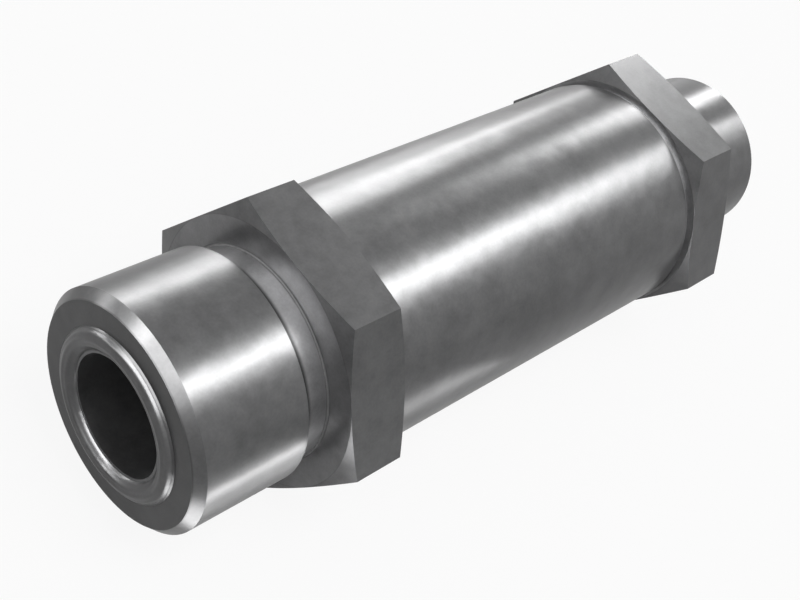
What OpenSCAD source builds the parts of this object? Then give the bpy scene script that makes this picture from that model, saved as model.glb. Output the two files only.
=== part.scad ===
// Inline non-return valve, lying on two flats of its hexagons.
// The valve's axis is X and the flow runs towards +X. The origin is the centre of the
// inlet port's end face, and +Z is up.

/* [Hexagons] */
// Width of both hexagons across their flats
hex_flats = 31.75; // [31.2:0.05:36]
// Length of the hexagon on the body
body_hex_len = 7.65; // [5:0.05:14]
// Length of the hexagon on the end fitting
end_hex_len = 7.65; // [5:0.05:14]
// Angle of the hexagons' turned chamfers, measured from their end faces
hex_chamfer_angle = 15; // [10:1:30]

/* [Inlet port] */
// Outer diameter of the inlet port
inlet_d = 27; // [25:0.1:29]
// Length of the inlet port
inlet_len = 13.8; // [10:0.1:24]
// Width of the chamfer round the inlet port's end
inlet_chamfer = 1.05; // [0.5:0.05:1.4]
// Diameter of the inlet drilling
inlet_bore_d = 13.7; // [12.6:0.1:14.4]

/* [Outlet port] */
// Outer diameter of the outlet port
outlet_d = 22.2; // [20.4:0.1:25]
// Length of the outlet port
outlet_len = 11.7; // [9:0.1:26]
// Width of the chamfer round the outlet port's end
outlet_chamfer = 1; // [0.5:0.05:1.2]
// Diameter of the outlet drilling
outlet_bore_d = 11.8; // [9:0.1:12]

/* [Sealing beads] */
// Radial width of the rounded bead round each port's bore
bead_w = 2.6; // [2:0.05:2.9]
// Height of the bead above the port's end face
bead_h = 0.8; // [0.3:0.05:1]
// Width of the flat land between each port's bore and its bead
bead_land = 0.3; // [0.1:0.05:0.4]

/* [Relief grooves] */
// Width of the relief groove between each port and its hexagon
groove_w = 3.6; // [2:0.1:6]
// Depth of that groove below the port's surface
groove_depth = 1.1; // [0.6:0.05:1.4]
// Radius in the groove's corner at the hexagon
groove_round = 0.2; // [0.1:0.05:0.5]
// Gap between the barrel's mouth and the end fitting's hexagon
relief_w = 1; // [0.8:0.1:2.5]
// Depth of the relief below the barrel's surface
relief_depth = 0.5; // [0.3:0.05:1]

/* [Barrel] */
// Outer diameter of the barrel
barrel_d = 30.9; // [30.4:0.1:31.1]
// Length of the barrel, from the body's hexagon to its mouth
barrel_len = 52.4; // [47:0.05:80]
// Diameter of the chamber, in which the poppet slides
chamber_d = 23; // [22.6:0.1:24]
// Thickness of the body between the hexagon's first face and the chamber's floor
floor_len = 3.6; // [2.5:0.1:6]

/* [Seat] */
// Length of the seat ring
seat_len = 6.5; // [6:0.1:9]
// Diameter of the seat ring's bore
seat_bore_d = 14.5; // [14.4:0.1:15]
// Width of the conical seat, measured radially
seat_w = 1.65; // [1.2:0.05:1.8]
// Cord thickness of the seat ring's seal
seat_cord = 1.8; // [1.5:0.1:2]
// Wire thickness of the seat's snap ring
snap_wire = 1.2; // [0.9:0.1:1.5]
// Depth of the snap ring's wire in the chamber's wall
snap_sink = 0.7; // [0.5:0.05:0.8]
// Gap between the ends of the snap ring, as an angle
snap_gap_angle = 34; // [20:1:60]

/* [Poppet] */
// Travel of the poppet between the seat and its stop
lift = 5; // [3:0.1:6]
// Diameter of the poppet's head and neck
neck_d = 17.6; // [17.2:0.1:18]
// Diameter of the bore inside the poppet, where the spring stands
poppet_bore_d = 15.2; // [14.8:0.1:15.4]
// Length from the seal's back face to the start of the poppet's bore
web_len = 3.8; // [3.2:0.1:6]
// Length of the neck between the web and the guided skirt
neck_len = 6.8; // [6.2:0.1:9]
// Number of cross holes round the neck
cross_holes = 6; // [4:1:7]
// Diameter of each cross hole
cross_hole_d = 5.4; // [4:0.1:5.6]
// Radial distance from the seat's inner edge in to the soft seal's front edge
seal_inset = 0.35; // [0.2:0.05:0.6]
// Thickness of the soft seal
seal_len = 1.2; // [0.9:0.1:1.3]
// Length of the nosepiece that clamps the soft seal
nose_len = 2; // [1.8:0.1:2.6]
// Diameter of the spigot inside the soft seal
spigot_d = 8; // [7:0.1:9]
// Width of the guide ring
guide_ring_w = 3; // [2:0.1:4]
// Width of the slanted cut through the guide ring
guide_ring_gap = 0.6; // [0.3:0.1:1.2]
// Slant of that cut
guide_ring_slant = 30; // [0:1:45]
// Thickness of the guide ring
guide_ring_t = 1.5; // [1:0.1:1.8]
// Depth of each fine groove round the skirt, and half its width
balance_groove = 0.4; // [0.2:0.1:0.6]
// Distance from the guide ring's edge to the middle of the nearest fine groove
balance_offset = 1.8; // [1.2:0.1:2.4]
// Width of the small chamfers on the inner pieces
edge_break = 0.4; // [0.2:0.05:0.5]

/* [Retaining screw] */
// Diameter of the screw's shank
screw_d = 4; // [3.6:0.1:4.4]
// Diameter of the screw's countersunk head
screw_head_d = 7.4; // [6.6:0.1:7.8]
// Length of the screw
screw_len = 6.2; // [5.4:0.1:6.6]
// Width of the screw's hexagon socket across its flats
socket_flats = 2.5; // [2:0.5:3]
// Depth of the screw's socket
socket_depth = 1.4; // [1:0.1:1.8]

/* [Spring] */
// Thickness of the spring wire
spring_wire = 1.3; // [1:0.1:1.4]
// Radial play between the spring and the poppet's bore
spring_play = 0.35; // [0.2:0.05:0.45]
// Number of free coils
spring_coils = 6; // [4:1:7]
// Thickness of the washer under the spring
washer_t = 0.8; // [0.5:0.1:1.2]
// Diameter of the hole in that washer
washer_hole_d = 8; // [6:0.1:10]
// Radial play of that washer in the poppet's bore
washer_play = 0.2; // [0.1:0.05:0.4]
// Thickness of the shim that sets the spring's preload
shim_t = 0.6; // [0.3:0.1:1.2]
// Radial distance that the shim stays inside the chamber's wall
shim_inset = 0.9; // [0.2:0.1:1.5]
// Diameter of the hole through the stop sleeve's flange and the shim
stop_hole_d = 12.4; // [12.2:0.1:13.2]
// Length of the stop sleeve
sleeve_len = 5; // [3.5:0.1:8]
// Thickness of the stop sleeve's flange
flange_t = 1.4; // [1:0.1:2]

/* [Screwed joint] */
// Mean diameter of the joint's thread, drawn plain
joint_thread_d = 25.2; // [25:0.1:25.4]
// Length of the joint's thread
joint_thread_len = 11.4; // [8:0.1:12]
// Diameter of the smooth sealing bore in the barrel's mouth
gland_d = 26.5; // [26.2:0.1:27.2]
// Length of the smooth sealing bore
gland_len = 4.5; // [4.3:0.1:6]
// Cord thickness of the joint's seal
joint_cord = 1.8; // [1.5:0.1:1.9]
// Lead chamfer on the end of the screwed shank
shank_lead = 0.8; // [0.4:0.1:1.2]
// Lead chamfer in the barrel's mouth
mouth_lead = 0.4; // [0.2:0.1:0.6]
// Width of the room for each seal's cord in its groove, as a multiple of the cord
groove_room = 1.2; // [1.1:0.05:1.35]
// Thickness of both back-up rings
backup_t = 1.1; // [0.8:0.1:1.3]

/* [Clearances] */
// Radial clearance between pieces that are assembled and stay still
still_fit = 0.05; // [0.02:0.01:0.1]
// Radial clearance between the guide ring and the chamber
guide_fit = 0.05; // [0.02:0.01:0.08]
// Radial clearance between the poppet's skirt and the chamber
skirt_fit = 0.1; // [0.06:0.01:0.2]
// Gap along the axis between the closed poppet and its seat
seat_gap = 0.08; // [0.05:0.01:0.15]
// Gap along the axis between pieces that are clamped together
face_fit = 0.02; // [0:0.01:0.05]
// How much of its cord each seal is squeezed by
squeeze = 0.25; // [0.1:0.01:0.4]
// How far a squeezed seal bulges sideways, as a multiple of its cord
bulge = 1.06; // [1:0.01:1.08]

/* [Hidden] */

round_fn = 96;
over = 0.5;

// Places along the axis
x_hex = inlet_len + groove_w;
x_hex_far = x_hex + body_hex_len;
x_mouth = x_hex_far + barrel_len;
x_end_hex = x_mouth + relief_w;
x_end_hex_far = x_end_hex + end_hex_len;
x_outlet = x_end_hex_far + groove_w + outlet_len;
x_floor = x_hex + floor_len;
x_gland = x_mouth - gland_len;
x_nose = x_gland - joint_thread_len;
x_seat_far = x_floor + seat_len;

// Radii of the outside
hex_r = hex_flats / 2;
hex_corner_r = hex_r / cos(30);
inlet_r = inlet_d / 2;
outlet_r = outlet_d / 2;
barrel_r = barrel_d / 2;
relief_r = barrel_r - relief_depth;
inlet_groove_r = inlet_r - groove_depth;
outlet_groove_r = outlet_r - groove_depth;

// Radii of the bores
inlet_bore_r = inlet_bore_d / 2;
outlet_bore_r = outlet_bore_d / 2;
stop_hole_r = stop_hole_d / 2;
chamber_r = chamber_d / 2;
gland_r = gland_d / 2;
joint_r = joint_thread_d / 2;

// The seat is a 45 degree cone, so its length equals its radial width
seat_bore_r = seat_bore_d / 2;
seat_mouth_r = seat_bore_r + seat_w;
snap_ring_r = chamber_r + snap_sink - snap_wire / 2;
snap_x = x_seat_far + snap_wire / 2 + face_fit;

// The closed poppet's cone lies behind the seat by the seat gap
function cone_x(r) = x_seat_far - seat_mouth_r + r + seat_gap;
neck_r = neck_d / 2;
seal_front_r = seat_bore_r - seal_inset;
seal_back_r = seal_front_r + seal_len;
nose_r = seal_front_r - nose_len;
x_seal = cone_x(seal_front_r);
x_seal_back = x_seal + seal_len;
x_tip = x_seal - nose_len;
x_poppet_floor = x_seal_back + web_len;
x_skirt = x_poppet_floor + neck_len;
skirt_r = chamber_r - skirt_fit;
poppet_bore_r = poppet_bore_d / 2;
spigot_r = spigot_d / 2;

// The stop sleeve stands in front of the end fitting, and the skirt of the closed poppet
// ends in front of it by the lift
x_sleeve_end = x_nose - shim_t - face_fit;
x_stop = x_sleeve_end - sleeve_len;
x_poppet_end = x_stop - lift - face_fit;
skirt_len = x_poppet_end - x_skirt;
x_flange = x_sleeve_end - flange_t;
sleeve_r = chamber_r - still_fit;
spring_r = poppet_bore_r - spring_play - spring_wire / 2;
spring_start = x_poppet_floor + washer_t + face_fit;
spring_end = x_flange - face_fit;

seat_groove_w = seat_cord * groove_room + backup_t;
seat_groove_r = chamber_r - seat_cord + squeeze;
seat_groove_x = x_floor + (seat_len - seat_w - seat_groove_w) / 2;
joint_groove_w = joint_cord * groove_room + backup_t;
joint_groove_r = gland_r - joint_cord + squeeze;
joint_groove_x = x_gland + (gland_len - joint_groove_w) / 2;

// The spring's wire runs in a helix: one closed coil at each end, and free coils between them.
// The wire is drawn slightly flat, so that closed coils lie side by side without touching.
spring_sides = 10;
spring_steps = 22;
spring_flat = 0.985;
closed_coils = 1;
all_coils = spring_coils + 2 * closed_coils;
free_len = spring_end - spring_start - spring_wire * (1 + 2 * closed_coils);

steel = "#8b8b8d";
dark_steel = "#6f7174";
rubber = "#1d1d1f";
plastic = "#e9e6dc";

// Revolves a profile of [radius, place along the axis] points about X
module turned(angle = 360) {
    rotate([0, 90, 0])
        rotate_extrude(angle = angle, $fn = round_fn)
            children();
}

// A block in the profile plane, between two radii and two places along the axis
module band(r0, r1, x0, x1) {
    translate([r0, x0])
        square([r1 - r0, x1 - x0]);
}

// A bore along the axis
module bore(r, x0, x1) {
    translate([x0, 0, 0])
        rotate([0, 90, 0])
            cylinder(r = r, h = x1 - x0, $fn = round_fn);
}

// A hexagon along the axis with two flats level, its corners turned back on both sides
module hexagon(x0, x1) {
    reach = hex_corner_r + over;
    drop = (reach - hex_r) * tan(hex_chamfer_angle);
    intersection() {
        translate([x0, 0, 0])
            rotate([0, 90, 0])
                rotate([0, 0, 30])
                    cylinder(r = hex_corner_r, h = x1 - x0, $fn = 6);
        turned()
            polygon([
                [0, x0],
                [hex_r, x0],
                [reach, x0 + drop],
                [reach, x1 - drop],
                [hex_r, x1],
                [0, x1]
            ]);
    }
}

// The rounded bead round a bore, in the profile plane, standing out by bead_h from x0.
// side is -1 at the inlet and 1 at the outlet.
module bead_profile(bore_r, x0, side) {
    bead_round = (pow(bead_w / 2, 2) + pow(bead_h, 2)) / (2 * bead_h);
    bead_r = bore_r + bead_land;
    intersection() {
        translate([bead_r + bead_w / 2, x0 + side * (bead_h - bead_round)])
            circle(r = bead_round, $fn = round_fn);
        translate([bead_r, side < 0 ? x0 - bead_h - over : x0 - over])
            square([bead_w, bead_h + 2 * over]);
    }
}

// The squeezed section of a seal that fills the height between two radii
module seal_profile(cord, r0, r1, x_mid) {
    intersection() {
        translate([(r0 + r1) / 2, x_mid])
            circle(d = cord * bulge, $fn = round_fn);
        band(r0, r1, x_mid - cord, x_mid + cord);
    }
}

module valve_body() {
    color(steel)
        difference() {
            union() {
                turned() {
                    inlet_port_profile();
                    band(0, barrel_r, x_hex, x_mouth);
                }
                hexagon(x_hex, x_hex_far);
            }
            body_hollow();
        }
}

// The inlet port with its chamfer, relief groove and bead
module inlet_port_profile() {
    polygon([
        [0, 0],
        [inlet_r - inlet_chamfer, 0],
        [inlet_r, inlet_chamfer],
        [inlet_r, inlet_len],
        [inlet_groove_r, inlet_len],
        [inlet_groove_r, x_hex + over],
        [0, x_hex + over]
    ]);
    corner_profile(inlet_groove_r, x_hex, -1);
    bead_profile(inlet_bore_r, 0, -1);
}

// The rounded corner between a groove and a hexagon's face at x0, in the profile plane.
// side is -1 where the groove lies before the face and 1 where it lies behind it.
module corner_profile(r, x0, side) {
    difference() {
        band(r - over, r + groove_round, x0 - groove_round, x0 + groove_round);
        translate([r + groove_round, x0 + side * groove_round])
            circle(r = groove_round, $fn = round_fn);
    }
}

// Everything that is bored out of the body, from the inlet to the mouth
module body_hollow() {
    bore(inlet_bore_r, -bead_h - over, x_floor + over);
    bore(chamber_r, x_floor, x_nose);
    turned()
        translate([snap_ring_r, snap_x])
            circle(d = snap_wire + 2 * still_fit, $fn = round_fn);
    bore(joint_r + still_fit, x_nose - over, x_gland + over);
    bore(gland_r, x_gland, x_mouth + over);
    turned()
        polygon([
            [0, x_mouth - mouth_lead],
            [gland_r, x_mouth - mouth_lead],
            [gland_r + mouth_lead, x_mouth],
            [gland_r + mouth_lead, x_mouth + over],
            [0, x_mouth + over]
        ]);
}

module end_fitting() {
    color(steel)
        difference() {
            union() {
                turned()
                    fitting_profile();
                hexagon(x_end_hex, x_end_hex_far);
            }
            bore(outlet_bore_r, x_nose - over, x_outlet + bead_h + over);
        }
}

// The screwed shank, the sealing land and its groove, the relief,
// and the outlet port with its relief groove, chamfer and bead
module fitting_profile() {
    difference() {
        polygon([
            [0, x_nose],
            [chamber_r - shank_lead, x_nose],
            [joint_r, x_nose + joint_r - chamber_r + shank_lead],
            [joint_r, x_gland + face_fit],
            [gland_r - still_fit, x_gland + face_fit],
            [gland_r - still_fit, x_mouth + face_fit],
            [relief_r, x_mouth + face_fit],
            [relief_r, x_end_hex_far - over],
            [outlet_groove_r, x_end_hex_far - over],
            [outlet_groove_r, x_end_hex_far + groove_w],
            [outlet_r, x_end_hex_far + groove_w],
            [outlet_r, x_outlet - outlet_chamfer],
            [outlet_r - outlet_chamfer, x_outlet],
            [0, x_outlet]
        ]);
        band(joint_groove_r, gland_r + over, joint_groove_x, joint_groove_x + joint_groove_w);
    }
    corner_profile(outlet_groove_r, x_end_hex_far, 1);
    bead_profile(outlet_bore_r, x_outlet, 1);
}

module seat_ring() {
    color(dark_steel)
        turned()
            difference() {
                polygon([
                    [seat_bore_r, x_floor + face_fit],
                    [chamber_r - still_fit - edge_break, x_floor + face_fit],
                    [chamber_r - still_fit, x_floor + face_fit + edge_break],
                    [chamber_r - still_fit, x_seat_far],
                    [seat_mouth_r, x_seat_far],
                    [seat_bore_r, x_seat_far - seat_w]
                ]);
                band(seat_groove_r, chamber_r + over, seat_groove_x, seat_groove_x + seat_groove_w);
            }
}

module seat_o_ring() {
    color(rubber)
        turned()
            seal_profile(
                seat_cord, seat_groove_r + face_fit, chamber_r - face_fit,
                seat_groove_x + (seat_groove_w - backup_t) / 2
            );
}

module seat_backup_ring() {
    color(plastic)
        turned()
            band(
                seat_groove_r + still_fit, chamber_r - still_fit,
                seat_groove_x + seat_groove_w - backup_t + face_fit,
                seat_groove_x + seat_groove_w - face_fit
            );
}

module seat_snap_ring() {
    color(dark_steel)
        rotate([snap_gap_angle / 2, 0, 0])
            turned(angle = 360 - snap_gap_angle)
                translate([snap_ring_r, snap_x])
                    circle(d = snap_wire, $fn = round_fn);
}

module poppet() {
    groove_mid = x_skirt + skirt_len / 2;
    color(dark_steel)
        difference() {
            turned()
                difference() {
                    polygon([
                        [0, x_seal],
                        [spigot_r, x_seal],
                        [spigot_r, x_seal_back],
                        [seal_back_r, x_seal_back],
                        [neck_r, cone_x(neck_r)],
                        [neck_r, x_skirt],
                        [skirt_r - edge_break, x_skirt],
                        [skirt_r, x_skirt + edge_break],
                        [skirt_r, x_poppet_end - edge_break],
                        [skirt_r - edge_break, x_poppet_end],
                        [poppet_bore_r, x_poppet_end],
                        [poppet_bore_r, x_poppet_floor],
                        [0, x_poppet_floor]
                    ]);
                    band(
                        skirt_r - guide_ring_t, skirt_r + over,
                        groove_mid - guide_ring_w / 2 - still_fit,
                        groove_mid + guide_ring_w / 2 + still_fit
                    );
                    for (side = [-1, 1])
                        balance_groove_profile(groove_mid + side * (guide_ring_w / 2 + balance_offset));
                }
            bore(screw_d / 2, x_seal - over, x_poppet_floor + over);
            cross_hole_set();
        }
}

// A fine square groove round the skirt
module balance_groove_profile(x_mid) {
    band(skirt_r - balance_groove, skirt_r + over, x_mid - balance_groove, x_mid + balance_groove);
}

// Radial holes through the poppet's neck
module cross_hole_set() {
    hole_x = x_poppet_floor + washer_t + (cross_hole_d + edge_break) / 2;
    for (i = [0 : cross_holes - 1])
        rotate([i * 360 / cross_holes, 0, 0])
            translate([hole_x, 0, poppet_bore_r / 2])
                cylinder(d = cross_hole_d, h = neck_r, $fn = round_fn);
}

module poppet_seal() {
    color(plastic)
        turned()
            polygon([
                [spigot_r + still_fit, x_seal + face_fit],
                [seal_front_r, x_seal + face_fit],
                [seal_back_r - face_fit, x_seal_back - face_fit],
                [spigot_r + still_fit, x_seal_back - face_fit]
            ]);
}

module seal_retainer() {
    head_r = screw_head_d / 2 + still_fit;
    shank_r = screw_d / 2 + still_fit;
    color(dark_steel)
        turned()
            polygon([
                [head_r, x_tip],
                [nose_r, x_tip],
                [seal_front_r, x_seal],
                [shank_r, x_seal],
                [shank_r, x_tip + head_r - shank_r]
            ]);
}

module retainer_screw() {
    head_r = screw_head_d / 2;
    shank_r = screw_d / 2 - still_fit;
    color(dark_steel)
        difference() {
            turned()
                polygon([
                    [0, x_tip],
                    [head_r, x_tip],
                    [shank_r, x_tip + head_r - shank_r],
                    [shank_r, x_tip + screw_len - edge_break],
                    [shank_r - edge_break, x_tip + screw_len],
                    [0, x_tip + screw_len]
                ]);
            translate([x_tip - over, 0, 0])
                rotate([0, 90, 0])
                    cylinder(d = socket_flats / cos(30), h = socket_depth + over, $fn = 6);
        }
}

module guide_ring() {
    ring_mid = x_skirt + skirt_len / 2;
    color(plastic)
        difference() {
            turned()
                band(
                    skirt_r - guide_ring_t + still_fit, chamber_r - guide_fit,
                    ring_mid - guide_ring_w / 2, ring_mid + guide_ring_w / 2
                );
            rotate([180, 0, 0])
                translate([ring_mid, 0, chamber_r])
                    rotate([0, 0, guide_ring_slant])
                        cube([3 * guide_ring_w, guide_ring_gap, 2 * guide_ring_w], center = true);
        }
}

module spring_washer() {
    color(dark_steel)
        turned()
            band(
                washer_hole_d / 2, poppet_bore_r - washer_play,
                x_poppet_floor + face_fit, x_poppet_floor + washer_t
            );
}

function spring_x(turn) =
    spring_start + spring_wire / 2
    + spring_wire * min(turn, closed_coils)
    + free_len * min(max(turn - closed_coils, 0), spring_coils) / spring_coils
    + spring_wire * max(turn - closed_coils - spring_coils, 0);
function spring_point(turn, side) =
    let(a = 360 * side / spring_sides, r = spring_r + spring_wire / 2 * cos(a))
    [
        spring_x(turn) + spring_wire / 2 * spring_flat * sin(a),
        r * cos(360 * turn),
        r * sin(360 * turn)
    ];

module return_spring() {
    rings = all_coils * spring_steps;
    points = [
        for (i = [0 : rings])
            for (s = [0 : spring_sides - 1])
                spring_point(i / spring_steps, s)
    ];
    walls = [
        for (i = [0 : rings - 1])
            for (s = [0 : spring_sides - 1])
                let(t = (s + 1) % spring_sides, a = i * spring_sides, b = a + spring_sides)
                [a + s, a + t, b + t, b + s]
    ];
    first = [for (s = [spring_sides - 1 : -1 : 0]) s];
    last = [for (s = [0 : spring_sides - 1]) rings * spring_sides + s];
    color(dark_steel)
        polyhedron(points = points, faces = concat(walls, [first], [last]), convexity = 10);
}

module stop_sleeve() {
    color(dark_steel)
        turned()
            polygon([
                [poppet_bore_r, x_stop],
                [sleeve_r, x_stop],
                [sleeve_r, x_sleeve_end],
                [stop_hole_r, x_sleeve_end],
                [stop_hole_r, x_flange],
                [poppet_bore_r, x_flange]
            ]);
}

module preload_shim() {
    color(dark_steel)
        turned()
            band(
                stop_hole_r, chamber_r - shim_inset,
                x_sleeve_end + face_fit, x_nose - face_fit
            );
}

module joint_o_ring() {
    color(rubber)
        turned()
            seal_profile(
                joint_cord, joint_groove_r + face_fit, gland_r - face_fit,
                joint_groove_x + (joint_groove_w - backup_t) / 2
            );
}

module joint_backup_ring() {
    color(plastic)
        turned()
            band(
                joint_groove_r + still_fit, gland_r - still_fit,
                joint_groove_x + joint_groove_w - backup_t + face_fit,
                joint_groove_x + joint_groove_w - face_fit
            );
}

valve_body();
end_fitting();
seat_ring();
seat_o_ring();
seat_backup_ring();
seat_snap_ring();
poppet();
poppet_seal();
seal_retainer();
retainer_screw();
guide_ring();
return_spring();
spring_washer();
stop_sleeve();
preload_shim();
joint_o_ring();
joint_backup_ring();
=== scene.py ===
import math

import bpy
from bpy.props import FloatProperty, FloatVectorProperty, IntProperty, PointerProperty
from mathutils import Euler, Matrix, Vector


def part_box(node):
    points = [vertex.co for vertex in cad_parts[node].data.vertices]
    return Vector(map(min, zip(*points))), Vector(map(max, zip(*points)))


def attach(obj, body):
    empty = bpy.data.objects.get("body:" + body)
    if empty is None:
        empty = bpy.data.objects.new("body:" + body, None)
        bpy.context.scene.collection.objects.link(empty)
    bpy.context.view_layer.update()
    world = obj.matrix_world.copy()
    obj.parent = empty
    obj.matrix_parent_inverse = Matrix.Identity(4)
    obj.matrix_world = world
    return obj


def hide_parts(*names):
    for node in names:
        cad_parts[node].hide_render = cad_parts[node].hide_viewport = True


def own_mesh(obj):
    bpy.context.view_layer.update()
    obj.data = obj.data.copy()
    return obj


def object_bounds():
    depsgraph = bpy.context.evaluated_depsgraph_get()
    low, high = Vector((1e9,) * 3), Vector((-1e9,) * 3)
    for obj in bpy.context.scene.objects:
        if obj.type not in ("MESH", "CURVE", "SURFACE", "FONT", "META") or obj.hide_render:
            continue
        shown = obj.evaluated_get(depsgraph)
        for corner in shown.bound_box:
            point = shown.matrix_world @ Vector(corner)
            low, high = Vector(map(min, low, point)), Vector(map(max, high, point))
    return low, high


bl_info = {
    "name": "Inline non-return valve",
    "version": (1, 0, 0),
    "blender": (4, 5, 0),
    "location": "View3D > Sidebar > Valve",
    "description": "Finishes, return spring and studio for an inline hydraulic non-return valve",
    "category": "Object",
}

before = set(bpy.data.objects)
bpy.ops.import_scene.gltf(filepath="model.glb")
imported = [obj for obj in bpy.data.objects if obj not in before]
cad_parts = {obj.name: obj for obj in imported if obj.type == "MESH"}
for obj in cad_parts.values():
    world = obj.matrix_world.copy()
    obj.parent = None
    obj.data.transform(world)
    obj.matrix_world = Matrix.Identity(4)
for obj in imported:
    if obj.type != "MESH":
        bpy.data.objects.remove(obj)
CAD_LOW, CAD_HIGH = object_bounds()

# Nodes of like finish
OUTER_STEEL = ("valve_body", "end_fitting")
GROUND_STEEL = (
    "seat_ring", "poppet", "seal_retainer", "retainer_screw", "spring_washer", "stop_sleeve", "preload_shim",
)
RUBBER_RINGS = ("seat_o_ring", "joint_o_ring")
PLASTIC_RINGS = ("poppet_seal", "guide_ring", "seat_backup_ring", "joint_backup_ring")
DRAWN_WIRE = ("seat_snap_ring",)

# A surface looks along the valve's axis where more than this share of its direction lies along it
LOOKS_ALONG = 0.8
# Height of the lit strips over the floor that they lie on, in metres
STRIP_LIFT = 0.0003


class ViewSettings(bpy.types.PropertyGroup):
    """Where the camera stands, in the valve's own frame"""

    place: FloatVectorProperty(
        name="Place",
        description="Place of the camera",
        default=(-0.055769, -0.046699, 0.109695), subtype="TRANSLATION", unit="LENGTH",
    )
    azimuth: FloatProperty(
        name="Azimuth",
        description="Direction that the camera looks in, counted from the valve's axis",
        default=math.radians(25.415), subtype="ANGLE", unit="ROTATION",
    )
    pitch: FloatProperty(
        name="Pitch",
        description="Angle by which the camera looks down",
        default=math.radians(46.373), subtype="ANGLE", unit="ROTATION",
    )
    roll: FloatProperty(
        name="Roll",
        description="Turn of the camera about its own line of sight",
        default=math.radians(31.227), subtype="ANGLE", unit="ROTATION",
    )
    lens: FloatProperty(
        name="Lens",
        description="Focal length in millimetres on a sensor 36 mm wide",
        default=57.6104, min=10.0,
    )


class StudioSettings(bpy.types.PropertyGroup):
    """Floor, room and lamps"""

    floor_colour: FloatVectorProperty(
        name="Floor",
        description="Colour of the pale floor",
        default=(0.68, 0.68, 0.68), size=3, subtype="COLOR",
    )
    floor_size: FloatProperty(
        name="Floor size",
        description="Side of the floor",
        default=8.0, subtype="DISTANCE", unit="LENGTH",
    )
    floor_glow: FloatProperty(
        name="Floor glow",
        description="Share of plain white that the floor shows to the camera",
        default=0.9, min=0.0, max=1.0, subtype="FACTOR",
    )
    floor_gloss: FloatProperty(
        name="Floor in gloss",
        description="Share of plain white that the floor shows in gloss",
        default=0.1, min=0.0, max=1.0, subtype="FACTOR",
    )
    room_light: FloatProperty(
        name="Room light",
        description="Strength of the room's light on matt surfaces",
        default=0.6, min=0.0,
    )
    lamp_distance: FloatProperty(
        name="Lamp distance",
        description="Distance of the lamps from the valve",
        default=3.0, subtype="DISTANCE", unit="LENGTH",
    )


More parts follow.
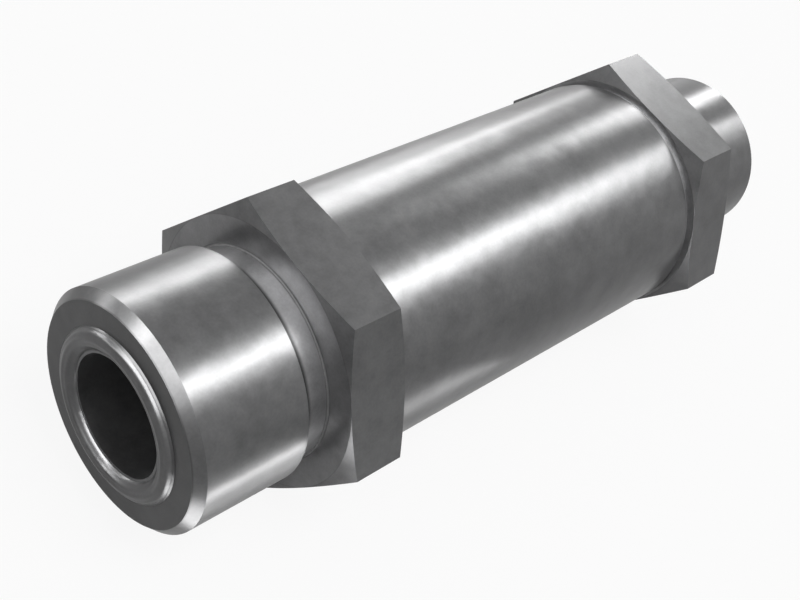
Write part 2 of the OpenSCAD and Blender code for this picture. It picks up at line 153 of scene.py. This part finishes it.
class SteelSettings(bpy.types.PropertyGroup):
    """The bare steel of the body and the end fitting, and the painted light and shade in its colour"""

    colour: FloatVectorProperty(
        name="Colour",
        description="Colour of the turned steel",
        default=(0.085, 0.085, 0.0865), size=3, subtype="COLOR",
    )
    metal: FloatProperty(
        name="Metal",
        description="Share of bare metal; the rest is a thin grey skin",
        default=0.6, min=0.0, max=1.0, subtype="FACTOR",
    )
    # Painted light: the steel's colour in the groove behind the inlet port is made lighter, in place of the
    # light that its walls reflect into it
    groove_painted_light: FloatProperty(
        name="Painted_light cut",
        description="How many times lighter the steel is in the first groove",
        default=2.2, min=1.0, max=6.0,
    )
    # Painted light: the steel's colour in the narrow relief by the far hexagon is made lighter, in place of
    # the light reflected into it
    relief: FloatProperty(
        name="Relief",
        description="How many times lighter the steel is in the narrow relief by the far hexagon",
        default=2.6, min=1.0, max=6.0,
    )
    # Painted light: the steel's colour in the bore is made a little lighter
    bore_painted_light: FloatProperty(
        name="Bore_painted_light",
        description="How many times lighter the steel is in the bore",
        default=1.1, min=1.0, max=4.0,
    )
    # Painted shade: the steel's colour on the inlet's flat face is darkened, in place of the darker
    # reflection that it shows
    face_painted_shade: FloatProperty(
        name="Face_painted_shade",
        description="Share of the steel's colour that is left on the inlet's flat face",
        default=0.6, min=0.0, max=1.0, subtype="FACTOR",
    )
    # Painted shade: the steel's colour is darkened in a band on the groove's floor at the foot of the inlet
    # port's back, where shade falls
    foot_painted_shade: FloatProperty(
        name="Foot_painted_shade",
        description="Share of the steel's colour that is left where grime gathers behind the port",
        default=0.1, min=0.0, max=1.0, subtype="FACTOR",
    )
    # Painted light: the steel's colour on the hexagons' chamfered corners is made lighter, in place of the
    # brighter reflection that they show
    chamfered: FloatProperty(
        name="Chamfered",
        description="How many times lighter the steel is on the hexagons' chamfered corners",
        default=1.3, min=1.0, max=4.0,
    )
    # Painted shade: the steel's colour is darkened in the inner corner of the groove, where shade falls
    corner: FloatProperty(
        name="Corner",
        description="Share of the steel's colour that is left in the inner corner of the groove",
        default=0.31, min=0.0, max=1.0, subtype="FACTOR",
    )
    roughness: FloatProperty(
        name="Roughness",
        description="Mean roughness of the turned steel",
        default=0.292, min=0.0, max=1.0, subtype="FACTOR",
    )
    dulling: FloatProperty(
        name="Dulling",
        description="How much rougher the steel is in the inner corner of the groove",
        default=0.4, min=0.0, max=1.0, subtype="FACTOR",
    )
    cloud_size: FloatProperty(
        name="Cloud size",
        description="Size of the soft clouds in the steel",
        default=0.0013, subtype="DISTANCE", unit="LENGTH",
    )
    cloud_depth: FloatProperty(
        name="Cloud depth",
        description="How much the clouds change the steel's colour",
        default=0.4, min=0.0, max=1.0, subtype="FACTOR",
    )
    cloud_roughness: FloatProperty(
        name="Cloud roughness",
        description="How much the clouds change the steel's roughness",
        default=0.05, min=0.0, max=1.0, subtype="FACTOR",
    )
    smear_size: FloatProperty(
        name="Smear size",
        description="Size of the larger smears in the steel",
        default=0.0039, subtype="DISTANCE", unit="LENGTH",
    )
    smear_depth: FloatProperty(
        name="Smear depth",
        description="How much the smears change the steel's colour",
        default=0.6, min=0.0, max=1.0, subtype="FACTOR",
    )
    grain_size: FloatProperty(
        name="Grain size",
        description="Size of the fine grain in the steel",
        default=0.0003, subtype="DISTANCE", unit="LENGTH",
    )
    grain_depth: FloatProperty(
        name="Grain depth",
        description="How much the grain changes the steel's colour",
        default=0.25, min=0.0, max=1.0, subtype="FACTOR",
    )
    wave_size: FloatProperty(
        name="Wave size",
        description="Size of the faint waves that bend the highlights' edges",
        default=0.0035, subtype="DISTANCE", unit="LENGTH",
    )
    wave_height: FloatProperty(
        name="Wave height",
        description="Height of those waves",
        default=0.00005, subtype="DISTANCE", unit="LENGTH",
    )
    ring_width: FloatProperty(
        name="Ring width",
        description="Width of the rings that the tool left on the inlet's bead",
        default=0.0007, subtype="DISTANCE", unit="LENGTH",
    )
    ring_height: FloatProperty(
        name="Ring height",
        description="Height of those rings",
        default=0.000022, subtype="DISTANCE", unit="LENGTH",
    )


class CutSettings(bpy.types.PropertyGroup):
    """Where the grooves and the bore were cut, along the valve's axis and out from it; the painted light and
    shade in the steel's colour follow these places
    """

    port_end: FloatProperty(
        name="Port's end",
        description="Start of the groove behind the inlet port",
        default=0.0138, subtype="DISTANCE", unit="LENGTH",
    )
    near_face: FloatProperty(
        name="Near face",
        description="Face of the first hexagon",
        default=0.0174, subtype="DISTANCE", unit="LENGTH",
    )
    mouth: FloatProperty(
        name="Mouth",
        description="Far end of the barrel",
        default=0.07745, subtype="DISTANCE", unit="LENGTH",
    )
    far_face: FloatProperty(
        name="Far face",
        description="Near face of the second hexagon",
        default=0.07845, subtype="DISTANCE", unit="LENGTH",
    )
    face_radius: FloatProperty(
        name="Face radius",
        description="Outer radius of the flat turned on each hexagon's face",
        default=0.0158, subtype="DISTANCE", unit="LENGTH",
    )
    floor_radius: FloatProperty(
        name="Floor radius",
        description="Radius of the floor of the groove behind the inlet port",
        default=0.0124, subtype="DISTANCE", unit="LENGTH",
    )
    bead_radius: FloatProperty(
        name="Bead radius",
        description="Outer radius of the bead round the inlet's bore",
        default=0.0096, subtype="DISTANCE", unit="LENGTH",
    )
    bore_radius: FloatProperty(
        name="Bore radius",
        description="Radius within which the inlet's bore lies",
        default=0.0072, subtype="DISTANCE", unit="LENGTH",
    )
    # The inner corner is dull and also darkened by painted shade
    corner_size: FloatProperty(
        name="Corner size",
        description="How far the dull inner corner of the groove reaches",
        default=0.00025, subtype="DISTANCE", unit="LENGTH",
    )
    # Painted shade: a dark band on the groove's floor at the foot of the inlet port's back
    foot_width: FloatProperty(
        name="Foot width",
        description="Width of the grime at the foot of the inlet port's back",
        default=0.0011, subtype="DISTANCE", unit="LENGTH",
    )
    # The cut's finish that fades out here is the painted light and shade in the steel's colour, and the waves
    # and the rings on the bead
    fade: FloatProperty(
        name="Fade",
        description="Width over which a cut's finish fades out",
        default=0.0001, subtype="DISTANCE", unit="LENGTH",
    )


class InnerSettings(bpy.types.PropertyGroup):
    """Colour and mean roughness of the pieces inside"""

    ground_colour: FloatVectorProperty(
        name="Ground steel",
        description="Colour of the ground steel",
        default=(0.33, 0.33, 0.34), size=3, subtype="COLOR",
    )
    ground_roughness: FloatProperty(
        name="Ground steel's roughness",
        description="Mean roughness of the ground steel",
        default=0.2, min=0.0, max=1.0, subtype="FACTOR",
    )
    wire_colour: FloatVectorProperty(
        name="Wire",
        description="Colour of the drawn wire",
        default=(0.24, 0.24, 0.26), size=3, subtype="COLOR",
    )
    wire_roughness: FloatProperty(
        name="Wire's roughness",
        description="Mean roughness of the drawn wire",
        default=0.33, min=0.0, max=1.0, subtype="FACTOR",
    )
    rubber_colour: FloatVectorProperty(
        name="Rubber",
        description="Colour of the rubber",
        default=(0.02, 0.02, 0.022), size=3, subtype="COLOR",
    )
    rubber_roughness: FloatProperty(
        name="Rubber's roughness",
        description="Mean roughness of the rubber",
        default=0.55, min=0.0, max=1.0, subtype="FACTOR",
    )
    plastic_colour: FloatVectorProperty(
        name="Plastic",
        description="Colour of the low friction plastic",
        default=(0.82, 0.80, 0.74), size=3, subtype="COLOR",
    )
    plastic_roughness: FloatProperty(
        name="Plastic's roughness",
        description="Mean roughness of the plastic",
        default=0.45, min=0.0, max=1.0, subtype="FACTOR",
    )


class SpringSettings(bpy.types.PropertyGroup):
    """The return spring, wound from round wire"""

    wire: FloatProperty(
        name="Wire",
        description="Thickness of the spring's wire",
        default=0.0013, subtype="DISTANCE", unit="LENGTH",
    )
    free_coils: IntProperty(
        name="Free coils",
        description="Number of free coils",
        default=6, min=2, max=12,
    )
    closed_coils: IntProperty(
        name="Closed coils",
        description="Closed coils at each end",
        default=1, min=1, max=3,
    )
    steps: IntProperty(
        name="Steps",
        description="Points in each coil",
        default=48, min=16, max=128,
    )
    sides: IntProperty(
        name="Sides",
        description="Points round the wire",
        default=16, min=8, max=32,
    )


SETTINGS = {
    "valve_view": ViewSettings,
    "valve_studio": StudioSettings,
    "valve_steel": SteelSettings,
    "valve_cuts": CutSettings,
    "valve_inside": InnerSettings,
    "valve_spring": SpringSettings,
}


class Socket:
    """A shader socket with arithmetic: an expression on sockets adds its Math nodes"""

    def __init__(self, tree, link):
        self.tree = tree
        self.link = link

    def math(self, operation, other=None, swapped=False):
        """Adds a Math node on this socket and another value; swapped puts the other value first"""
        values = (self,) if other is None else ((other, self) if swapped else (self, other))
        return self.tree.node("ShaderNodeMath", {"operation": operation}, dict(enumerate(values)))

    def __add__(self, other):
        return self.math("ADD", other)

    def __sub__(self, other):
        return self.math("SUBTRACT", other)

    def __rsub__(self, other):
        return self.math("SUBTRACT", other, swapped=True)

    def __mul__(self, other):
        return self.math("MULTIPLY", other)

    __radd__ = __add__
    __rmul__ = __mul__


class Tree:
    """A node tree, in which one method makes every node"""

    def __init__(self, node_tree):
        self.node_tree = node_tree
        self.node_tree.nodes.clear()

    def node(self, kind, settings=None, inputs=None, output=0):
        """Adds a node with its settings, then its sockets' values or links, and gives one of its outputs"""
        made = self.node_tree.nodes.new(kind)
        for name, value in (settings or {}).items():
            setattr(made, name, value)
        for name, value in (inputs or {}).items():
            if isinstance(value, Socket):
                self.node_tree.links.new(value.link, made.inputs[name])
            else:
                made.inputs[name].default_value = value
        return Socket(self, made.outputs[output]) if len(made.outputs) else made

    def tint(self, colour, factor):
        """A colour made lighter or darker by a factor that changes over the surface"""
        grey = self.node("ShaderNodeCombineColor", None, {"Red": factor, "Green": factor, "Blue": factor})
        # The Mix node's colours are its sockets 6 and 7, and its mixed colour is its output 2
        return self.node(
            "ShaderNodeMix", {"data_type": "RGBA", "blend_type": "MULTIPLY"},
            {0: 1.0, 6: (*colour, 1.0), 7: grey}, output=2,
        )

    def place(self):
        """A point's place in the valve's own frame"""
        return self.node("ShaderNodeTexCoord", output="Object")

    def facing_along(self):
        """1 on a surface that looks along the valve's axis and 0 on one that looks out from it"""
        normal = self.node("ShaderNodeTexCoord", output="Normal")
        return self.node("ShaderNodeSeparateXYZ", None, {"Vector": normal}, output="X").math("ABSOLUTE")

    def along_and_out(self):
        """A point's place along the valve's axis, and its distance from that axis"""
        place = self.place()
        x, y, z = (self.node("ShaderNodeSeparateXYZ", None, {"Vector": place}, output=axis) for axis in "XYZ")
        return x, (y * y + z * z).math("SQRT")

    def beyond(self, value, edge, width):
        """0 up to an edge and 1 past it, with a soft step of the given width"""
        return self.node(
            "ShaderNodeMapRange", {"interpolation_type": "SMOOTHSTEP"},
            {"Value": value, "From Min": edge - width / 2, "From Max": edge + width / 2},
        )

    def cloud(self, size, detail=3.0, distortion=0.0, stretch=(1.0, 1.0, 1.0)):
        """Soft noise from 0 to 1, with patches of about the given size"""
        where = self.node("ShaderNodeMapping", None, {"Vector": self.place(), "Scale": stretch})
        return self.node(
            "ShaderNodeTexNoise", None,
            {"Vector": where, "Scale": 1.0 / size, "Detail": detail, "Distortion": distortion},
        )

    def bump(self, height, strength=1.0, distance=1.0):
        """The surface's direction once it is raised by a height, in metres unless a distance is given"""
        inputs = {"Height": height, "Strength": strength, "Distance": distance}
        return self.node("ShaderNodeBump", None, inputs)


def new_material(name):
    """A new material and the tree that its nodes go into"""
    material = bpy.data.materials.new(name)
    material.use_nodes = True
    return material, Tree(material.node_tree)


def varied(mean, *swings):
    """A mean value that swings with noises; each swing is its whole width and its noise"""
    for width, noise in swings:
        mean = mean + width * (noise - 0.5)
    return mean


def finish_surface(tree, **inputs):
    """Adds the surface shader; an input's name is the socket's name with underscores"""
    named = {name.replace("_", " "): value for name, value in inputs.items()}
    surface = tree.node("ShaderNodeBsdfPrincipled", None, named)
    tree.node("ShaderNodeOutputMaterial", None, {"Surface": surface})


def painted_light_and_shade(tree):
    """Painted light and shade as a factor on the steel's colour: lighter in the groove, the relief, the bore
    and on the hexagons' chamfers, darker on the inlet's flat face, in the groove's inner corner and at the
    foot of the inlet port's back; and the mask of that corner, where the steel is also rougher.
    The flats on the hexagons' faces belong to the groove and to the relief that end on them."""
    steel = bpy.context.scene.valve_steel
    cuts = bpy.context.scene.valve_cuts
    x, r = tree.along_and_out()

    def past(edge):
        return tree.beyond(x, edge, cuts.fade)

    def within(radius):
        return 1.0 - tree.beyond(r, radius, cuts.fade)

    def between(low, high):
        return past(low) * (1.0 - past(high))

    groove = between(cuts.port_end, cuts.near_face + cuts.fade / 4) * within(cuts.face_radius)
    relief = between(cuts.mouth, cuts.far_face + cuts.fade) * within(cuts.face_radius)
    bore = within(cuts.bore_radius)
    face = (1.0 - past(cuts.fade)) * (1.0 - within(cuts.bead_radius))
    chamfers = tree.beyond(tree.facing_along(), LOOKS_ALONG, 0.1) * (1.0 - within(cuts.face_radius))
    along = x - cuts.near_face
    out = r - cuts.floor_radius
    from_corner = (along * along + out * out).math("SQRT")
    # Mask of the groove's inner corner: painted shade in the colour, and more roughness
    corner = 1.0 - tree.beyond(from_corner, cuts.corner_size, 0.6 * cuts.corner_size)
    # Mask of the painted shade at the foot of the inlet port's back
    foot = past(cuts.port_end) * (1.0 - tree.beyond(x, cuts.port_end + cuts.foot_width, cuts.foot_width / 2))
    # Painted light lightens the groove, relief, bore and chamfers; painted shade darkens the inlet's face,
    # the groove's corner and the port's foot
    shade = 1.0 + (steel.groove_painted_light - 1.0) * groove
    for mask, factor in (
        (relief, steel.relief), (bore, steel.bore_painted_light), (face, steel.face_painted_shade), (chamfers, steel.chamfered),
        (corner, steel.corner), (foot, steel.foot_painted_shade),
    ):
        shade = shade * (1.0 + (factor - 1.0) * mask)
    return shade, corner


def faint_waves(tree):
    """Height of the waves on the turned parts, which the hexagons' flats don't have"""
    steel = bpy.context.scene.valve_steel
    cuts = bpy.context.scene.valve_cuts
    r = tree.along_and_out()[1]
    turned = 1.0 - tree.beyond(r, cuts.face_radius, cuts.fade)
    return steel.wave_height * turned * (tree.cloud(steel.wave_size, detail=1.0) - 0.5)


def bead_rings(tree):
    """Height of the shallow rings that the tool left on the inlet's bead"""
    steel = bpy.context.scene.valve_steel
    cuts = bpy.context.scene.valve_cuts
    x, r = tree.along_and_out()
    on_bead = (1.0 - tree.beyond(x, 0.0, cuts.fade)) * (1.0 - tree.beyond(r, cuts.bead_radius, cuts.fade))
    return steel.ring_height * on_bead * (2.0 * math.pi / steel.ring_width * r).math("SINE")


def turned_steel():
    """Bare turned steel with soft clouds, smears, a fine grain, faint waves and rings on its bead, and with
    painted light and shade in its colour at the grooves, the bore, the inlet's face and the chamfers
    """
    steel = bpy.context.scene.valve_steel
    material, tree = new_material("turned_steel")
    clouds = tree.cloud(steel.cloud_size, detail=3.0)
    smears = tree.cloud(steel.smear_size, detail=2.0)
    grain = tree.cloud(steel.grain_size, detail=1.0)
    shade = varied(1.0, (steel.cloud_depth, clouds), (steel.smear_depth, smears), (steel.grain_depth, grain))
    # Painted light and shade in the steel's colour, and the mask of the groove's inner corner, which also
    # makes the steel rougher
    painted_shading, corner = painted_light_and_shade(tree)
    finish_surface(
        tree,
        Base_Color=tree.tint(steel.colour, shade * painted_shading),
        Metallic=steel.metal,
        Roughness=varied(steel.roughness, (steel.cloud_roughness, clouds)) + steel.dulling * corner,
        Normal=tree.bump(faint_waves(tree) + bead_rings(tree)),
    )
    return material


def ground_steel():
    """Hard steel with fine rings left by grinding"""
    inside = bpy.context.scene.valve_inside
    material, tree = new_material("ground_steel")
    rings = tree.cloud(size=0.0012, detail=2.0, stretch=(6.0, 0.4, 0.4))
    clouds = tree.cloud(size=0.004, detail=3.0, distortion=0.8)
    finish_surface(
        tree,
        Base_Color=tree.tint(inside.ground_colour, varied(1.0, (0.20, clouds), (0.12, rings))),
        Metallic=1.0,
        Roughness=varied(inside.ground_roughness, (0.12, rings)),
        Normal=tree.bump(rings, strength=0.15, distance=0.00001),
    )
    return material


def spring_steel():
    """Drawn wire, darker and duller than the ground steel"""
    inside = bpy.context.scene.valve_inside
    material, tree = new_material("spring_steel")
    marks = tree.cloud(size=0.0008, detail=2.0, distortion=0.4)
    finish_surface(
        tree,
        Base_Color=tree.tint(inside.wire_colour, varied(1.0, (0.25, marks))),
        Metallic=1.0,
        Roughness=varied(inside.wire_roughness, (0.1, marks)),
        Normal=tree.bump(marks, strength=0.12, distance=0.00001),
    )
    return material


def rubber():
    """Black moulded rubber"""
    inside = bpy.context.scene.valve_inside
    material, tree = new_material("rubber")
    skin = tree.cloud(size=0.0004, detail=3.0)
    finish_surface(
        tree,
        Base_Color=tree.tint(inside.rubber_colour, varied(1.0, (0.4, skin))),
        Roughness=varied(inside.rubber_roughness, (0.2, skin)),
        Normal=tree.bump(skin, strength=0.25, distance=0.00002),
    )
    return material


def white_plastic():
    """Off-white low friction plastic with fine turning marks"""
    inside = bpy.context.scene.valve_inside
    material, tree = new_material("white_plastic")
    marks = tree.cloud(size=0.0006, detail=2.0, stretch=(5.0, 0.6, 0.6))
    finish_surface(
        tree,
        Base_Color=tree.tint(inside.plastic_colour, varied(1.0, (0.08, marks))),
        Roughness=varied(inside.plastic_roughness, (0.15, marks)),
        Normal=tree.bump(marks, strength=0.1, distance=0.00002),
    )
    return material


def dress(nodes, material):
    """Gives the named nodes one material"""
    for name in nodes:
        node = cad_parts[name]
        node.data.materials.clear()
        node.data.materials.append(material)


class VALVE_OT_outside(bpy.types.Operator):
    """Gives the body and the end fitting their turned steel"""

    bl_idname = "valve.outside"
    bl_label = "Body and end fitting"

    def execute(self, context):
        dress(OUTER_STEEL, turned_steel())
        return {"FINISHED"}


class VALVE_OT_inner_steel(bpy.types.Operator):
    """Gives the seat, the poppet and the stop their ground steel"""

    bl_idname = "valve.inner_steel"
    bl_label = "Seat, poppet and stop"

    def execute(self, context):
        dress(GROUND_STEEL, ground_steel())
        return {"FINISHED"}


class VALVE_OT_rings(bpy.types.Operator):
    """Gives the sealing rings and the guide ring their rubber and plastic"""

    bl_idname = "valve.rings"
    bl_label = "Sealing and guide rings"

    def execute(self, context):
        dress(RUBBER_RINGS, rubber())
        dress(PLASTIC_RINGS, white_plastic())
        return {"FINISHED"}


def wind_spring(settings):
    """A tube swept along the spring's helix, with closed coils at each end"""
    low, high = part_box("return_spring")
    radius = high.z - settings.wire / 2
    coils = settings.free_coils + 2 * settings.closed_coils
    free_length = high.x - low.x - settings.wire * (1 + 2 * settings.closed_coils)

    def along(turn):
        closed = min(turn, settings.closed_coils) + max(turn - settings.closed_coils - settings.free_coils, 0)
        free = min(max(turn - settings.closed_coils, 0), settings.free_coils)
        return low.x + settings.wire * (0.5 + closed) + free_length * free / settings.free_coils

    def ring(turn):
        angle = 2 * math.pi * turn
        outward = Vector((0, math.cos(angle), math.sin(angle)))
        centre = Vector((along(turn), 0, 0)) + radius * outward
        for side in range(settings.sides):
            a = 2 * math.pi * side / settings.sides
            yield centre + settings.wire / 2 * (math.cos(a) * outward + math.sin(a) * Vector((1, 0, 0)))

    count = coils * settings.steps
    points = [p for i in range(count + 1) for p in ring(i / settings.steps)]
    faces = []
    for i in range(count):
        for side in range(settings.sides):
            near, far = i * settings.sides, (i + 1) * settings.sides
            after = (side + 1) % settings.sides
            faces.append((near + side, near + after, far + after, far + side))
    faces.append(tuple(reversed(range(settings.sides))))
    faces.append(tuple(count * settings.sides + side for side in range(settings.sides)))
    mesh = bpy.data.meshes.new("wound_spring")
    mesh.from_pydata(points, [], faces)
    mesh.validate()
    mesh.polygons.foreach_set("use_smooth", [len(p.vertices) == 4 for p in mesh.polygons])
    spring = bpy.data.objects.new("wound_spring", mesh)
    bpy.context.scene.collection.objects.link(spring)
    return spring


class VALVE_OT_springs(bpy.types.Operator):
    """Winds the return spring from round wire and finishes the snap ring"""

    bl_idname = "valve.springs"
    bl_label = "Return spring and snap ring"

    def execute(self, context):
        wire_steel = spring_steel()
        dress(DRAWN_WIRE, wire_steel)
        spring = wind_spring(context.scene.valve_spring)
        spring.data.materials.append(wire_steel)
        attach(spring, "housing")
        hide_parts("return_spring")
        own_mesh(spring)
        return {"FINISHED"}


def make_camera(settings):
    """The photograph's camera: it looks down on the valve and is rolled, because the valve lies flat"""
    forward = Vector((
        math.cos(settings.pitch) * math.cos(settings.azimuth),
        math.cos(settings.pitch) * math.sin(settings.azimuth),
        -math.sin(settings.pitch),
    ))
    data = bpy.data.cameras.new("camera")
    data.sensor_width = 36.0
    data.lens = settings.lens
    data.clip_start = 0.01
    data.clip_end = 20.0
    camera = bpy.data.objects.new("camera", data)
    level = forward.to_track_quat("-Z", "Y")
    rolled = level.to_matrix() @ Euler((0, 0, settings.roll)).to_matrix()
    camera.matrix_world = Matrix.Translation(settings.place) @ rolled.to_4x4()
    bpy.context.scene.collection.objects.link(camera)
    bpy.context.scene.camera = camera


def ray_kinds(tree, *names):
    """1 for the named kinds of rays"""
    rays = tree.node("ShaderNodeLightPath").link.node
    total = Socket(tree, rays.outputs[names[0]])
    for name in names[1:]:
        total = total.math("MAXIMUM", Socket(tree, rays.outputs[name]))
    return total


def make_room(settings):
    """A room that shows plain white and lights matt surfaces softly"""
    world = bpy.data.worlds.new("studio_room")
    world.use_nodes = True
    bpy.context.scene.world = world
    tree = Tree(world.node_tree)
    shown = ray_kinds(tree, "Is Camera Ray", "Is Glossy Ray", "Is Transmission Ray")
    strength = settings.room_light + (1.0 - settings.room_light) * shown
    light = tree.node("ShaderNodeBackground", None, {"Color": (1.0, 1.0, 1.0, 1.0), "Strength": strength})
    tree.node("ShaderNodeOutputWorld", None, {"Surface": light})


def make_floor(settings):
    """A pale floor that keeps the valve's shadow"""
    half = settings.floor_size / 2
    height = CAD_LOW.z
    mesh = bpy.data.meshes.new("floor")
    corners = [(-half, -half, height), (half, -half, height), (half, half, height), (-half, half, height)]
    mesh.from_pydata(corners, [], [(0, 1, 2, 3)])
    floor = bpy.data.objects.new("floor", mesh)
    bpy.context.scene.collection.objects.link(floor)
    material, tree = new_material("pale_floor")
    matt = tree.node("ShaderNodeBsdfDiffuse", None, {"Color": (*settings.floor_colour, 1.0)})
    white = tree.node("ShaderNodeEmission", None, {"Color": (1.0, 1.0, 1.0, 1.0), "Strength": 1.0})
    to_camera = ray_kinds(tree, "Is Camera Ray")
    in_gloss = ray_kinds(tree, "Is Glossy Ray", "Is Transmission Ray")
    share = settings.floor_glow * to_camera + settings.floor_gloss * in_gloss
    mixed = tree.node("ShaderNodeMixShader", None, {0: share, 1: matt, 2: white})
    tree.node("ShaderNodeOutputMaterial", None, {"Surface": mixed})
    mesh.materials.append(material)


def add_lamp(name, place, outward, along, length, width, glow):
    """A flat lamp that faces back along outward, with its length along the given direction.
    glow is how bright it looks, where plain white is 1. It shows in gloss and doesn't light matt surfaces."""
    data = bpy.data.lights.new(name, "AREA")
    data.shape = "RECTANGLE"
    data.size = length
    data.size_y = width
    data.energy = glow * math.pi * length * width
    lamp = bpy.data.objects.new(name, data)
    columns = (along, outward.cross(along), outward)
    turned = Matrix([[c[i] for c in columns] for i in range(3)]).to_4x4()
    lamp.matrix_world = Matrix.Translation(place) @ turned
    bpy.context.scene.collection.objects.link(lamp)
    lamp.visible_camera = False
    lamp.visible_diffuse = False
    return lamp


def far_lamp(name, around, off_axis, turn, length, width, glow):
    """A lamp far off. around is its angle about the valve's axis, from straight up towards -Y;
    off_axis is its angle from +X; turn is the angle of its length from the axis. All in degrees."""
    around, off_axis, turn = (math.radians(a) for a in (around, off_axis, turn))
    outward = Vector((
        math.cos(off_axis), -math.sin(off_axis) * math.sin(around), math.sin(off_axis) * math.cos(around),
    ))
    level = (Vector((1, 0, 0)) - outward.x * outward).normalized()
    along = math.cos(turn) * level + math.sin(turn) * outward.cross(level)
    distance = bpy.context.scene.valve_studio.lamp_distance
    return add_lamp(name, distance * outward, outward, along, length, width, glow)


def floor_strip(name, x, y, length, width, glow):
    """A bright strip that lies on the floor, facing up, with its length along X"""
    place = Vector((x, y, CAD_LOW.z + STRIP_LIFT))
    return add_lamp(name, place, Vector((0, 0, -1)), Vector((1, 0, 0)), length, width, glow)


def make_lamps():
    """Each lamp draws one of the steel's bright bands, but the key lamp only lights matt surfaces"""
    key = far_lamp("key_lamp", around=20, off_axis=84, turn=0, length=1.5, width=1.5, glow=5.65)
    key.visible_diffuse = True
    key.visible_glossy = False
    far_lamp("upper_strip", around=32.6, off_axis=77, turn=17, length=6.8, width=0.48, glow=16.8)
    far_lamp("back_strip", around=-81.3, off_axis=84, turn=-19.5, length=5.0, width=0.65, glow=13.6)
    far_lamp("far_spot", around=-43.6, off_axis=33.5, turn=31, length=0.88, width=0.50, glow=18.2)
    far_lamp("low_back_strip", around=-94.3, off_axis=52.7, turn=-37, length=1.35, width=1.0, glow=10.2)
    far_lamp("far_box", around=26.4, off_axis=55, turn=16, length=1.56, width=0.73, glow=11.2)
    far_lamp("front_box", around=-8.8, off_axis=132, turn=74, length=4.1, width=2.13, glow=13)
    far_lamp("front_strip", around=-55.3, off_axis=141.5, turn=-67, length=1.48, width=0.43, glow=18.6)
    far_lamp("front_back_strip", around=-95.6, off_axis=124.8, turn=-4, length=2.3, width=0.88, glow=9.6)
    floor_strip("port_strip", x=0.020, y=-0.0335, length=0.036, width=0.007, glow=12)
    floor_strip("under_strip", x=0.022, y=-0.0235, length=0.030, width=0.009, glow=1.2)
    floor_strip("barrel_strip", x=0.052, y=-0.036, length=0.020, width=0.014, glow=2.5)
    floor_strip("back_floor_strip", x=0.125, y=0.134, length=0.07, width=0.07, glow=4.5)
    floor_strip("mouth_strip", x=-0.005, y=-0.023, length=0.012, width=0.012, glow=7.5)


class VALVE_OT_stage(bpy.types.Operator):
    """Sets up the camera, the floor, the room and the lamps"""

    bl_idname = "valve.stage"
    bl_label = "Studio"

    def execute(self, context):
        scene = context.scene
        make_camera(scene.valve_view)
        studio = scene.valve_studio
        make_room(studio)
        make_floor(studio)
        make_lamps()
        scene.view_settings.view_transform = "Standard"
        return {"FINISHED"}


class VALVE_PT_panel(bpy.types.Panel):
    """Lists the valve's steps in the sidebar"""

    bl_label = "Non-return valve"
    bl_idname = "VALVE_PT_panel"
    bl_space_type = "VIEW_3D"
    bl_region_type = "UI"
    bl_category = "Valve"

    def draw(self, context):
        for operator in OPERATORS:
            self.layout.operator(operator.bl_idname)
        for name in SETTINGS:
            group = getattr(context.scene, name)
            box = self.layout.box()
            for key in group.bl_rna.properties.keys():
                if key not in ("rna_type", "name"):
                    box.prop(group, key)


OPERATORS = (VALVE_OT_stage, VALVE_OT_outside, VALVE_OT_inner_steel, VALVE_OT_rings, VALVE_OT_springs)


def register():
    for name, group in SETTINGS.items():
        bpy.utils.register_class(group)
        setattr(bpy.types.Scene, name, PointerProperty(type=group))
    for operator in OPERATORS:
        bpy.utils.register_class(operator)
    bpy.utils.register_class(VALVE_PT_panel)


def unregister():
    bpy.utils.unregister_class(VALVE_PT_panel)
    for operator in reversed(OPERATORS):
        bpy.utils.unregister_class(operator)
    for name, group in reversed(SETTINGS.items()):
        delattr(bpy.types.Scene, name)
        bpy.utils.unregister_class(group)


def main():
    register()
    bpy.ops.valve.stage()
    bpy.ops.valve.outside()
    bpy.ops.valve.inner_steel()
    bpy.ops.valve.rings()
    bpy.ops.valve.springs()


if __name__ == "__main__":
    main()
